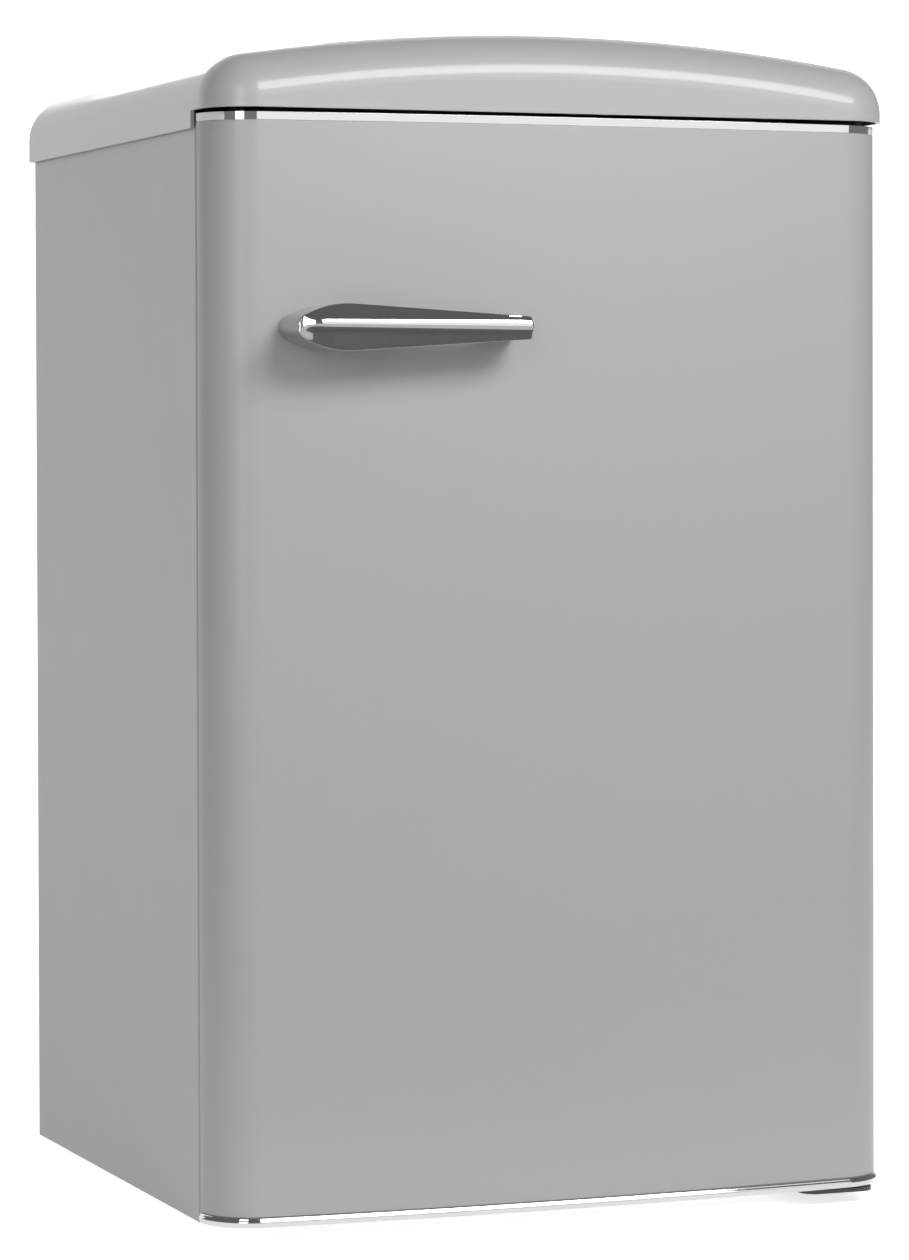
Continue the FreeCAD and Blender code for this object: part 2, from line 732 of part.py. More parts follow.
drawer_x = 207
drawer_y = (front + 102, hump_front - 8)
drawer_z = (D.cavity_z0 + 3, D.hump_z - 12)
drawer = hollow((-drawer_x, drawer_x), drawer_y, drawer_z, 3, 14)
grip = box((-70, 70), (drawer_y[0] - 1, drawer_y[0] + 4), (drawer_z[1] - 34, drawer_z[1] - 12))
named(cut(drawer, rounded(grip, 8, along("Y"))), "crisper_drawer")

# ---------------------------------------------------------------- door

low_top = D.door_z0 + D.low_trim_h
high_low = D.door_z1 - D.top_trim_h
skin_block = slab("skin", 0, low_top, high_low)
hollow_plan = slab("hollow", D.steel_t, low_top - 1, high_low + 1)
behind = box((-300, 300), (door_rear - D.steel_t, door_rear + 5), (0, 900))
skin_mouth = box((-258, 258), (door_rear - 5, door_rear + 1), (low_top - 1, high_low + 1))
skin = cut(skin_block, cut(hollow_plan, behind), skin_mouth)
bolt_tools = [rod(2.5 + D.run_gap, (x, at_y(-84), D.handle_z), 46, "Y") for x in handle_posts]
named(cut(skin, *bolt_tools), "door_skin")


def band(z0, z1, behind_y):
    """A chrome strip round the door's front and corners, ending at behind_y."""
    outside = slab("outside", -D.trim_out, z0, z1)
    inside = slab("inside", D.steel_t, size(z0) - 1, size(z1) + 1)
    rest = box((-300, 300), (behind_y, door_rear + 5), (size(z0) - 2, size(z1) + 2))
    return cut(outside, inside, rest)


bottom_trim = named(band(D.door_z0, low_top, door_rear - 0.5), "bottom_trim")
top_trim = named(band(high_low, D.door_z1, door_rear - 28), "top_trim")
bush_r = 7
for label, z0, z1, trim in (
    ("door_bottom_cap", D.door_z0, low_top, bottom_trim), ("door_top_cap", high_low, D.door_z1, top_trim),
):
    cap = cut(slab("cap", 0, z0, z1), trim)
    named(cut(cap, rod(bush_r, (D.hinge_x, pin_y, size(z0) - 1), 20)), label)

collar = D.foot_gap + 0.12
low_bore = rod(pin_hole, (D.hinge_x, pin_y, D.foot_gap - 1), 18)
high_bore = rod(pin_hole, (D.hinge_x, pin_y, D.door_z1 - 16), 20)
low_bush = fuse(
    rod(bush_r, (D.hinge_x, pin_y, D.door_z0), 20), rod(9, (D.hinge_x, pin_y, collar), D.door_z0 - collar)
)
high_bush = rod(bush_r, (D.hinge_x, pin_y, D.door_z1 - 20), 20)
named(group(cut(low_bush, low_bore), cut(high_bush, high_bore)), "hinge_bushes")

panel_x = 262
panel_z = (30, 816)
panel_y = (door_rear, door_rear + 2)
dike_y = (door_rear, at_y(D.dike_in))
dike_x = (-D.dike_x, D.dike_x)
dike_z = (D.dike_z0, D.dike_z1)
dike = frame(dike_x, dike_z, dike_y, D.dike_w, 24)
core_x = (dike_x[0] + 2, dike_x[1] - 2)
core_z = (dike_z[0] + 2, dike_z[1] - 2)
dike_core = frame(core_x, core_z, (door_rear - 1, dike_y[1] - 2), D.dike_w - 4, 22)
bin_bases = {"door_bin_bottom": 96.3, "door_bin_middle": 330.0, "door_bin_top": 560.0}
dike_inner = D.dike_x - D.dike_w
pegs = []
for base in (bin_bases["door_bin_middle"], bin_bases["door_bin_top"]):
    for x in ((dike_inner - 14, dike_inner + 1), (-dike_inner - 1, 14 - dike_inner)):
        pegs.append(rounded(box(x, (panel_y[1] - 1, at_y(22)), (base - 8.3, base - 0.3)), 3, along("Y")))
panel = rounded(box((-panel_x, panel_x), panel_y, panel_z), 20, along("Y"))
named(fuse(cut(fuse(panel, dike), dike_core), *pegs), "door_liner")

foam_plan = slab("foam", D.steel_t, low_top, high_low)
filling = box((-258, 258), (door_rear - D.steel_t - 1, door_rear), (low_top, high_low))
core_only = cut(dike_core, box((-300, 300), (door_rear - 9, door_rear), (0, 900)))
foam_door = fuse(cut(foam_plan, behind), filling, core_only)
foam_holes = [
    rod(bush_r, (D.hinge_x, pin_y, 0), D.door_z0 + 20),
    rod(bush_r, (D.hinge_x, pin_y, D.door_z1 - 20), 30),
]
bolt_pockets = [rod(6, (x, at_y(-58), D.handle_z), 14, "Y") for x in handle_posts]
named(cut(foam_door, *foam_holes, *bolt_tools, *bolt_pockets), "door_foam")

seal_y = (door_rear + 2.3, front - 0.3)
named(frame((-D.seal_x, D.seal_x), (D.seal_z0, D.seal_z1), seal_y, D.seal_w, 8), "door_gasket")

for label, base in bin_bases.items():
    x = (-D.bin_x + 0.6, D.bin_x - 0.6)
    y = (panel_y[1] + 1, at_y(D.bin_reach))
    height = 86 if label == "door_bin_bottom" else 62
    named(hollow(x, y, (base, base + height), 2.4, 12), label)

# ---------------------------------------------------------------- handle


def pull_outline(sketch):
    """The pull from the front: a round end, a shoulder arc on each side, a taper and a square end."""
    tip_x = D.handle_tip_r - D.handle_nose
    wide = Vector(-D.handle_wide_x.number, D.handle_wide.number, 0)
    tail = Vector(-D.handle_end.number, D.handle_tail.number, 0)
    slope = (tail - wide).normalize()
    normal = Vector(-slope.y, slope.x, 0)
    tip = Vector(tip_x.number, 0, 0)
    tip_r = D.handle_tip_r.number
    reach = wide - tip
    shoulder_r = (reach.dot(reach) - tip_r**2) / (2 * (normal.dot(reach) - tip_r))
    centre = wide - normal * shoulder_r
    join = math.atan2(tip.y - centre.y, tip.x - centre.x)
    start = math.atan2(normal.y, normal.x)

    def mirrored(point):
        return Vector(point.x, -point.y, 0)

    def arc(middle, radius, low, high):
        return Part.ArcOfCircle(Part.Circle(middle, Vector(0, 0, 1), radius), low, high)

    nose = sketch.addGeometry(arc(tip, tip_r, join, 2 * math.pi - join))
    above = sketch.addGeometry(arc(centre, shoulder_r, start, join))
    below = sketch.addGeometry(arc(mirrored(centre), shoulder_r, -join, -start))
    upper = sketch.addGeometry(Part.LineSegment(wide, tail))
    lower = sketch.addGeometry(Part.LineSegment(mirrored(tail), mirrored(wide)))
    end = sketch.addGeometry(Part.LineSegment(tail, mirrored(tail)))
    for rule in (
        ("Tangent", nose, 1, above, 2),
        ("Tangent", nose, 2, below, 1),
        ("Tangent", above, 1, upper, 1),
        ("Tangent", below, 2, lower, 2),
        ("Coincident", upper, 2, end, 1),
        ("Coincident", end, 2, lower, 1),
        ("PointOnObject", nose, 3, -1),
        ("Symmetric", upper, 1, lower, 2, -1),
        ("Symmetric", upper, 2, lower, 1, -1),
    ):
        sketch.addConstraint(Sketcher.Constraint(*rule))
    fixed(sketch, "Radius", nose, value=D.handle_tip_r)
    for where, x in (((nose, 3), tip_x), ((upper, 1), -D.handle_wide_x), ((upper, 2), -D.handle_end)):
        fixed(sketch, "DistanceX", -1, 1, *where, value=x)
    fixed(sketch, "DistanceY", -1, 1, upper, 1, value=D.handle_wide)
    fixed(sketch, "DistanceY", -1, 1, upper, 2, value=D.handle_tail)
    return sketch


pull_front = at_y(-D.handle_reach)
door_face = at_y(-58)
pull = new_body("pull")
pad(pull, pull_outline(new_sketch(pull, "XZ_Plane")), door_face + 12 - pull_front)
bind(pull, {"Placement.Base.y": door_face + 12, "Placement.Base.z": D.handle_z})
pull = rounded(pull, D.handle_end_r, lambda e: along("Y")(e) and e.CenterOfMass.x > -60)
pull = rounded(pull, 2, lambda e: e.BoundBox.YMax < pull_front.number + 0.1)
finger_x = (handle_posts[0] + 20, handle_posts[1] - 8)
fingers = box(finger_x, (pull_front + D.handle_bar, door_face + 20), (D.handle_z - 30, D.handle_z + 30))
pull = cut(pull, rounded(fingers, 6, lambda e: along("Z")(e) and e.CenterOfMass.y < door_face.number - 10))
bolt_gap = [rod(2.5 + D.run_gap, (x, pull_front + 20, D.handle_z), 60, "Y") for x in handle_posts]
named(cut(pull, slab("body", 0, 600, 750), *bolt_gap), "handle")
bolts = []
for x in handle_posts:
    head_y = bow_centre_y - math.sqrt((float(D.door_bow) - 1) ** 2 - x**2) + 0.4
    shank = rod(2.5, (x, pull_front + 21, D.handle_z), head_y - pull_front - 21, "Y")
    bolts.append(fuse(shank, rod(4.5, (x, head_y, D.handle_z), 3, "Y")))
named(group(*bolts), "handle_screws")

# ---------------------------------------------------------------- write

document.recompute()
os.makedirs("parts", exist_ok=True)
for thing in document.Objects:
    if {"Invalid", "Error"} & set(thing.State):
        raise ValueError(f"{thing.Name} ({thing.Label}) did not work out: {thing.State}")
for thing in pieces:
    if thing.Shape.isNull() or not thing.Shape.isValid() or not thing.Shape.Solids:
        raise ValueError(f"{thing.Label} is not a good solid")
    thing.Shape.exportStep(f"parts/{thing.Label}.step")
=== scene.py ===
import json
import math

import bmesh
import bpy
from mathutils import Matrix, Vector


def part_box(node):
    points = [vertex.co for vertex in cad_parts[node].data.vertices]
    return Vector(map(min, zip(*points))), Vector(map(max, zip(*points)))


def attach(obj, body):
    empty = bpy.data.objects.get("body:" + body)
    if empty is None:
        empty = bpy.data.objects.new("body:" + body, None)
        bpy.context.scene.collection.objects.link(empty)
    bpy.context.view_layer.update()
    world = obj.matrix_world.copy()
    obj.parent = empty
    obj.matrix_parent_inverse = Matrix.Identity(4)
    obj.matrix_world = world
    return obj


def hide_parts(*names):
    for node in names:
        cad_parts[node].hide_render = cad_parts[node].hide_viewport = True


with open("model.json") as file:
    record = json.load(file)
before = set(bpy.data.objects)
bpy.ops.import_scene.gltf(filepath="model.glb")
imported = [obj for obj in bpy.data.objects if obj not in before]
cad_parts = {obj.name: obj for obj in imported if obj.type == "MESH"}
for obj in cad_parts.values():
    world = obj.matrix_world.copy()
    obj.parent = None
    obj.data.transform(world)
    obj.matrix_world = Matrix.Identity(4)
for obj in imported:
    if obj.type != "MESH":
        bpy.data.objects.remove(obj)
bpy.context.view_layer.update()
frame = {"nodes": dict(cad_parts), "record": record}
nodes = frame["nodes"]
UP = Vector((0, 0, 1))

# ---------------------------------------------------------------- materials


class Shader:
    """A material's node tree round one Principled BSDF."""

    def __init__(self, name, **inputs):
        self.mat = bpy.data.materials.new(name)
        self.mat.use_nodes = True
        self.tree = self.mat.node_tree
        self.bsdf = self.tree.nodes["Principled BSDF"]
        for key, value in inputs.items():
            self.bsdf.inputs[key.replace("_", " ")].default_value = value
        place = self.add("ShaderNodeTexCoord")
        self.place = place.outputs["Object"]

    def add(self, kind, **settings):
        node = self.tree.nodes.new(kind)
        for key, value in settings.items():
            setattr(node, key, value)
        return node

    def link(self, out, into):
        self.tree.links.new(out, into)

    def noise(self, scale, detail=3.0, roughness=0.5, stretch=None):
        """Noise with scale in waves per metre, stretched along an axis if asked."""
        node = self.add("ShaderNodeTexNoise")
        node.inputs["Scale"].default_value = scale
        node.inputs["Detail"].default_value = detail
        node.inputs["Roughness"].default_value = roughness
        source = self.place
        if stretch:
            mapping = self.add("ShaderNodeMapping")
            mapping.inputs["Scale"].default_value = stretch
            self.link(source, mapping.inputs["Vector"])
            source = mapping.outputs["Vector"]
        self.link(source, node.inputs["Vector"])
        return node.outputs["Fac"]

    def ramp(self, value, low, high, out_low=0.0, out_high=1.0):
        node = self.add("ShaderNodeMapRange")
        for key, number in (("From Min", low), ("From Max", high), ("To Min", out_low), ("To Max", out_high)):
            node.inputs[key].default_value = number
        self.link(value, node.inputs["Value"])
        return node.outputs["Result"]

    def mix(self, factor, one, two, blend="MIX"):
        node = self.add("ShaderNodeMix", data_type="RGBA", blend_type=blend)
        ins = {s.identifier: s for s in node.inputs}
        if isinstance(factor, float):
            ins["Factor_Float"].default_value = factor
        else:
            self.link(factor, ins["Factor_Float"])
        for key, value in (("A_Color", one), ("B_Color", two)):
            if isinstance(value, tuple):
                ins[key].default_value = value
            else:
                self.link(value, ins[key])
        return next(s for s in node.outputs if s.identifier == "Result_Color")

    def bump(self, height, strength, distance, under=None):
        node = self.add("ShaderNodeBump")
        node.inputs["Strength"].default_value = strength
        node.inputs["Distance"].default_value = distance
        self.link(height, node.inputs["Height"])
        if under is not None:
            self.link(under, node.inputs["Normal"])
        return node.outputs["Normal"]

    def edges(self, radius):
        """A rounded normal on sharp edges, within radius."""
        node = self.add("ShaderNodeBevel", samples=6)
        node.inputs["Radius"].default_value = radius
        return node.outputs["Normal"]

    def into(self, key, out):
        self.link(out, self.bsdf.inputs[key])


def shade(colour, factor):
    """A lighter or darker colour, as RGBA."""
    return tuple(min(1.0, c * factor) for c in colour) + (1.0,)


def surface(name, colour, rough, metallic=0.0, tone=0.05, cloud=9.0, grain=900.0, bump=0.05, depth=0.0004,
            spread=0.12, stretch=None, edge=0.0006, coat=0.0, **more):
    """A solid surface: its tone and roughness wander slowly, and a fine grain lies on it."""
    s = Shader(name, Metallic=metallic, **more)
    if coat:
        s.bsdf.inputs["Coat Weight"].default_value = coat
        s.bsdf.inputs["Coat Roughness"].default_value = 0.08
    slow = s.noise(cloud, 4.0, 0.55)
    fine = s.noise(grain, 2.0, 0.5, stretch)
    s.into("Base Color", s.mix(s.ramp(slow, 0.35, 0.65), shade(colour, 1 - tone), shade(colour, 1 + tone)))
    rub = s.noise(cloud * 7, 5.0, 0.6)
    s.into("Roughness", s.ramp(rub, 0.3, 0.7, rough * (1 - spread), min(1.0, rough * (1 + spread))))
    under = s.edges(edge) if edge else None
    s.into("Normal", s.bump(fine, bump, depth, under))
    return s


GREY = (0.26, 0.26, 0.262)
MATERIALS = {
    "enamel": surface("enamel", GREY, 0.42, tone=0.004, cloud=3.0, grain=420.0, bump=0.03, spread=0.03,
                      coat=0.05, Specular_IOR_Level=0.3),
    "lid_plastic": surface("lid_plastic", (0.285, 0.285, 0.287), 0.42, tone=0.004, cloud=3.0,
                           grain=380.0, bump=0.02, spread=0.03, coat=0.3, Specular_IOR_Level=0.3),
    "zinc_steel": surface("zinc_steel", (0.5, 0.51, 0.52), 0.42, metallic=0.9, cloud=30.0, grain=240.0,
                          bump=0.06),
    "back_steel": surface("back_steel", (0.55, 0.55, 0.55), 0.5, tone=0.03, grain=700.0, bump=0.05),
    "bracket_steel": surface("bracket_steel", (0.03, 0.03, 0.032), 0.45, tone=0.15, grain=900.0,
                             bump=0.1),
    "screw_steel": surface("screw_steel", (0.5, 0.5, 0.5), 0.3, metallic=1.0, cloud=120.0, grain=1500.0,
                           bump=0.1),
    "aluminium": surface("aluminium", (0.7, 0.7, 0.71), 0.35, metallic=1.0, grain=500.0,
                         stretch=(0.05, 1, 1)),
    "foam": surface("foam", (0.75, 0.66, 0.42), 0.9, tone=0.1, cloud=60.0, grain=600.0, bump=0.5,
                    depth=0.001),
    "liner": surface("liner", (0.82, 0.82, 0.81), 0.3, tone=0.012, grain=500.0, bump=0.04),
    "white_plastic": surface("white_plastic", (0.8, 0.8, 0.79), 0.35, tone=0.015, grain=1100.0,
                             bump=0.06),
    "grey_plastic": surface("grey_plastic", (0.5, 0.5, 0.5), 0.5, tone=0.02, grain=1400.0, bump=0.12),
    "black_plastic": surface("black_plastic", (0.02, 0.02, 0.021), 0.5, tone=0.15, grain=1500.0,
                             bump=0.2),
    "foot_plastic": surface("foot_plastic", (0.03, 0.03, 0.03), 0.6, tone=0.15, grain=1500.0, bump=0.2),
    "gasket": surface("gasket", (0.55, 0.55, 0.55), 0.6, tone=0.04, grain=900.0, bump=0.1),
    "soft_rubber": surface("soft_rubber", (0.025, 0.025, 0.025), 0.8, tone=0.15, grain=900.0, bump=0.2),
    "chrome": surface("chrome", (0.52, 0.52, 0.53), 0.05, metallic=1.0, tone=0.01, cloud=20.0,
                      grain=300.0, bump=0.01, edge=0.0004),
    "compressor_black": surface("compressor_black", (0.012, 0.012, 0.013), 0.3, tone=0.2, grain=200.0,
                                bump=0.08, coat=0.3),
    "condenser_black": surface("condenser_black", (0.015, 0.015, 0.015), 0.4, tone=0.2, grain=600.0,
                               bump=0.15),
    "copper": surface("copper", (0.72, 0.36, 0.2), 0.3, metallic=1.0, tone=0.12, cloud=70.0,
                      grain=500.0, bump=0.05),
    "clear_plastic": surface("clear_plastic", (0.86, 0.92, 0.93), 0.12, tone=0.01, grain=300.0,
                             bump=0.02, Transmission_Weight=0.85, IOR=1.45),
    "lens": surface("lens", (0.95, 0.95, 0.93), 0.35, tone=0.01, grain=900.0, bump=0.15,
                    Transmission_Weight=0.7),
    "bulb_glass": surface("bulb_glass", (0.95, 0.95, 0.93), 0.05, tone=0.01, Transmission_Weight=0.9),
    "shelf_glass": surface("shelf_glass", (0.86, 0.95, 0.92), 0.04, tone=0.01, grain=40.0, bump=0.005,
                           Transmission_Weight=0.95, IOR=1.5),
}

for part in frame["record"]["subparts"]:
    thing = nodes[part["node"]]
    thing.data.materials.clear()
    thing.data.materials.append(MATERIALS[part["material_slot"]].mat)

# ---------------------------------------------------------------- mesh helpers


def new_piece(name, verts, faces, slot, body, *stands_for, sharp=35.0):
    """A mesh piece in metres, smooth but for edges sharper than sharp degrees."""
    mesh = bpy.data.meshes.new(name)
    mesh.from_pydata([tuple(v) for v in verts], [], faces)
    work = bmesh.new()
    work.from_mesh(mesh)
    bmesh.ops.remove_doubles(work, verts=work.verts, dist=2e-6)
    bmesh.ops.recalc_face_normals(work, faces=work.faces)
    work.to_mesh(mesh)
    work.free()
    mesh.shade_smooth()
    mesh.set_sharp_from_angle(angle=math.radians(sharp))
    mesh.materials.append(MATERIALS[slot].mat)
    thing = bpy.data.objects.new(name, mesh)
    bpy.context.collection.objects.link(thing)
    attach(thing, body)
    if stands_for:
        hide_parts(*stands_for)
    return thing


def grid_faces(rows, columns, wrap_rows=False, wrap_columns=True):
    """Quads between rows of columns points, in row order."""
    faces = []
    for r in range(rows if wrap_rows else rows - 1):
        for c in range(columns if wrap_columns else columns - 1):
            a, b = r * columns + c, r * columns + (c + 1) % columns
            n = ((r + 1) % rows) * columns
            faces.append((a, b, n + (c + 1) % columns, n + c))
    return faces


def sweep(name, stations, slot, body, *stands_for, ring=False, sharp=35.0):
    """Closed sections, one list of points per station, skinned into one closed piece."""
    count = len(stations[0])
    verts = [p for section in stations for p in section]
    faces = grid_faces(len(stations), count, wrap_rows=ring)
    if not ring:
        faces.append(tuple(range(count)))
        faces.append(tuple((len(stations) - 1) * count + c for c in range(count)))
    return new_piece(name, verts, faces, slot, body, *stands_for, sharp=sharp)


def spread(low, high, count):
    """Evenly spaced numbers from low to high, both included."""
    return [low + (high - low) * n / (count - 1) for n in range(count)]


def ease(value):
    """A smooth rise from 0 to 1."""
    value = max(0.0, min(1.0, value))
    return value * value * (3 - 2 * value)


# ---------------------------------------------------------------- door shell and its chrome strips

MM = 0.001
CORNER, BOW, STEEL = 39.5 * MM, 2800 * MM, 1.0 * MM
skin_lo, skin_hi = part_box("door_skin")
half_door = skin_hi.x
door_rear = skin_hi.y
mid_x = half_door - CORNER
mid_y = door_rear + math.sqrt((BOW - CORNER) ** 2 - mid_x**2)
lean = math.atan2(mid_y - door_rear, mid_x)


def door_face_y(x):
    """Where the painted front is, at a distance from the middle."""
    return mid_y - math.sqrt(BOW**2 - x**2)


def door_line(start=0.0, corner_steps=26, bow_steps=40):
    """The door's plan from left to right as (point, outward direction), from start in front of its rear."""
    first = math.asin(min(0.99, start / CORNER))
    line = []
    for angle in spread(math.pi + first, math.pi + lean, corner_steps):
        out = Vector((math.cos(angle), math.sin(angle), 0))
        line.append((Vector((-mid_x, door_rear, 0)) + out * CORNER, out))
    for angle in spread(math.pi + lean, 2 * math.pi - lean, bow_steps)[1:]:
        out = Vector((math.cos(angle), math.sin(angle), 0))
        line.append((Vector((0, mid_y, 0)) + out * BOW, out))
    for angle in spread(2 * math.pi - lean, 2 * math.pi - first, corner_steps)[1:]:
        out = Vector((math.cos(angle), math.sin(angle), 0))
        line.append((Vector((mid_x, door_rear, 0)) + out * CORNER, out))
    return line


def door_shell():
    """Folded sheet: front, round corners and a short return behind each side, with softly folded ends."""
    fold = 14 * MM
    line = door_line(STEEL)
    turn = []
    for angle in spread(90, 180, 6):
        out = Vector((math.cos(math.radians(angle)), math.sin(math.radians(angle)), 0))
        turn.append((Vector((-half_door + STEEL, door_rear - STEEL, 0)) + out * STEEL, out))
    left = [(Vector((-half_door + fold, door_rear, 0)), Vector((0, 1, 0))), *turn]
    flip = [(Vector((-p.x, p.y, 0)), Vector((-n.x, n.y, 0))) for p, n in reversed(left)]
    soft = 0.7 * MM
    low, high = skin_lo.z, skin_hi.z
    section = [(-STEEL, low + soft), (-STEEL, high - soft)]
    section += [
        (soft * (math.sin(a) - 1), high + soft * (math.cos(a) - 1)) for a in spread(0, math.pi / 2, 5)
    ]
    section += [
        (soft * (math.cos(a) - 1), low + soft * (1 - math.sin(a))) for a in spread(0, math.pi / 2, 5)
    ]
    stations = [
        [p + n * o + UP * z for o, z in section] for p, n in [*left, *line, *flip]
    ]
    return sweep("door_shell", stations, "enamel", "door", "door_skin")


def chrome_strip(name, node, start, crown):
    """A crowned strip round the door with softly closed ends."""
    lo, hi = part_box(node)
    out = hi.x - half_door
    low, high = lo.z, hi.z
    tall = high - low
    soft = min(1.5 * MM, tall / 3)
    outline = [(-STEEL * 0.9, low)]
    for a in spread(-90, 0, 6):
        outline.append((out - soft - crown + soft * math.cos(math.radians(a)),
                        low + soft + soft * math.sin(math.radians(a))))
    for share in spread(0, 1, 9)[1:-1]:
        z = low + soft + (tall - 2 * soft) * share
        outline.append((out - crown + crown * (1 - (2 * share - 1) ** 2), z))
    for a in spread(0, 90, 6):
        outline.append((out - soft - crown + soft * math.cos(math.radians(a)),
                        high - soft + soft * math.sin(math.radians(a))))
    outline.append((-STEEL * 0.9, high))
    middle = (low + high) / 2
    line = door_line(start)
    stations, lengths = [], [0.0]
    for (p, _), (q, _) in zip(line, line[1:]):
        lengths.append(lengths[-1] + (q - p).length)
    for (p, n), at in zip(line, lengths):
        stations.append((p, n, min(at, lengths[-1] - at)))
    closing = 2.2 * MM
    ends = []
    for p, n, gap in stations:
        share = 1.0 if gap >= closing else math.sqrt(max(0.0, 1 - (1 - gap / closing) ** 2))
        share = max(share, 0.35)
        ends.append([p + n * (o * share if o > 0 else o) + UP * (middle + (z - middle) * (0.6 + 0.4 * share))
                     for o, z in outline])
    return sweep(name, ends, "chrome", "door", node, sharp=50)


door_shell()
chrome_strip("chrome_strip_low", "bottom_trim", 1.2 * MM, 1.0 * MM)
chrome_strip("chrome_strip_high", "top_trim", 28 * MM, 0.9 * MM)

# ---------------------------------------------------------------- pull

grip_lo, grip_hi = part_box("handle")
grip_z = (grip_lo.z + grip_hi.z) / 2
nose_x, end_x = grip_lo.x, grip_hi.x
WIDE_X, WIDE, TAIL = -181 * MM, (grip_hi.z - grip_lo.z) / 2, 8.4 * MM
TIP_R, END_R = 10 * MM, 3 * MM
GAP_X, GAP_ROUND = (-179 * MM, -60 * MM), 12 * MM  # where fingers go in behind, and how it rounds off
BAR, SINK = 14.8 * MM, 0.6 * MM  # the bar's thickness, and how far behind the door's face its ends stop
RIM_BACK, RIB_BACK = 6.6 * MM, 2.2 * MM  # how far rims and rib edges lie behind the rib's crown
RIM_SOFT, NOSE_SOFT, END_SOFT = 0.8 * MM, 1.6 * MM, 2.2 * MM
RIB_TOP, RIB_LOW, RIB_GROWS = 8.2, 3.2, 1.7  # mm over and under the middle, and how much lower at the end
BROW_SLOPE, CHIN_SLOPE = 0.5, 0.42  # depth for height of the upper and the lower facet
tip = Vector((nose_x + TIP_R, 0))
wide = Vector((WIDE_X, WIDE))
slope = (Vector((end_x, TAIL)) - wide).normalized()
across = Vector((-slope.y, slope.x))
shoulder_r = ((wide - tip).length_squared - TIP_R**2) / (2 * (across.dot(wide - tip) - TIP_R))
shoulder = wide - across * shoulder_r
join_x = tip.x + (tip - shoulder).normalized().x * TIP_R


def circle_y(share):
    """How far a quarter circle has risen, from 0 to 1, at a share of its radius."""
    return math.sqrt(max(0.0, 1 - (1 - min(1.0, share)) ** 2))


def pull_half(x):
    """Half the pull's height at x: a tip arc, a shoulder arc, a taper and a rounded end."""
    if x < join_x:
        return TIP_R * circle_y((x - nose_x) / TIP_R)
    if x < WIDE_X:
        return shoulder.y + math.sqrt(shoulder_r**2 - (x - shoulder.x) ** 2)
    height = WIDE + (x - WIDE_X) * slope.y / slope.x
    return height - END_R * (1 - circle_y((end_x - x) / END_R))


def pull_section(x):
    """One section across the pull, as a loop of points: walls, soft rims, two facets and a crowned rib."""
    full = pull_half(x)
    crown_y = grip_lo.y + 0.1 * MM
    deep = door_face_y(x) + SINK
    reach_in = min(x - GAP_X[0], GAP_X[1] - x)
    gap = circle_y(reach_in / GAP_ROUND) if reach_in > 0 else 0.0
    back = deep + (crown_y + BAR - deep) * gap
    near = ease((x - nose_x) / (20 * MM))
    soft = min(RIM_SOFT, full * 0.45)
    rim = crown_y + RIM_BACK + NOSE_SOFT * (1 - circle_y((x - nose_x) / NOSE_SOFT))
    rib = rim + (crown_y + RIB_BACK - rim) * near
    crown = (rib - crown_y) * near
    along_it = (x - nose_x) / (end_x - nose_x)
    high, low = min(RIB_TOP * MM, full - soft), max(-(RIB_LOW + RIB_GROWS * along_it) * MM, soft - full)
    pinch = END_SOFT * (1 - circle_y((end_x - x) / END_SOFT))
    brow = rib + min(rim - rib, BROW_SLOPE * (full - soft - high))
    chin = rib + min(rim - rib, CHIN_SLOPE * (low - soft + full))
    loop = [(back + (brow + soft - back) * share, full) for share in spread(0, 1, 10)]
    over = math.atan2(full - soft - high, brow - rib)
    loop += [
        (brow + soft * (1 - math.sin(a)), full - soft * (1 - math.cos(a))) for a in spread(0, over, 5)[1:]
    ]
    y, z = loop[-1]
    loop += [(y + (rib - y) * t, z + (high - z) * t) for t in spread(0, 1, 6)[1:]]
    loop += [(rib - crown * (1 - (2 * t - 1) ** 2), high + (low - high) * t) for t in spread(0, 1, 17)[1:]]
    under = math.atan2(low - soft + full, chin - rib)
    y, z = chin + soft * (1 - math.sin(under)), soft * (1 - math.cos(under)) - full
    loop += [(rib + (y - rib) * t, low + (z - low) * t) for t in spread(0, 1, 6)[1:]]
    loop += [
        (chin + soft * (1 - math.sin(a)), soft * (1 - math.cos(a)) - full) for a in spread(under, 0, 5)[1:]
    ]
    loop += [(back + (chin + soft - back) * share, -full) for share in spread(1, 0, 10)[1:]]
    loop += [(back, full * share) for share in spread(-1, 1, 7)[1:-1]]
    return [Vector((x, y + (pinch if y < rim + 3 * MM else 0.0), grip_z + z)) for y, z in loop]


def pull_stations():
    """Places along the pull, close together where its outline turns quickly."""
    steps = [nose_x + (join_x - nose_x) * (1 - math.cos(a)) for a in spread(0.04, math.pi / 2, 22)]
    steps += spread(join_x, nose_x + 56 * MM, 34)[1:]
    steps += spread(nose_x + 56 * MM, end_x - 30 * MM, 40)[1:]
    steps += spread(end_x - 30 * MM, end_x - END_R, 34)[1:]
    return steps + [end_x - END_R * (1 - math.sin(a)) for a in spread(0, math.pi / 2, 9)[1:]]


sweep("pull", [pull_section(x) for x in pull_stations()], "chrome", "door", "handle", sharp=26)

# ---------------------------------------------------------------- seal


def ring_line(lo, hi, corner, steps=8):
    """A rounded upright rectangle as (point, outward direction), in X and Z."""
    line = []
    for cx, cz, first in ((hi.x - corner, hi.z - corner, 0), (lo.x + corner, hi.z - corner, 90),
                          (lo.x + corner, lo.z + corner, 180), (hi.x - corner, lo.z + corner, 270)):
        for angle in spread(first, first + 90, steps):
            out = Vector((math.cos(math.radians(angle)), 0, math.sin(math.radians(angle))))
            line.append((Vector((cx, 0, cz)) + out * corner, out))
    return line


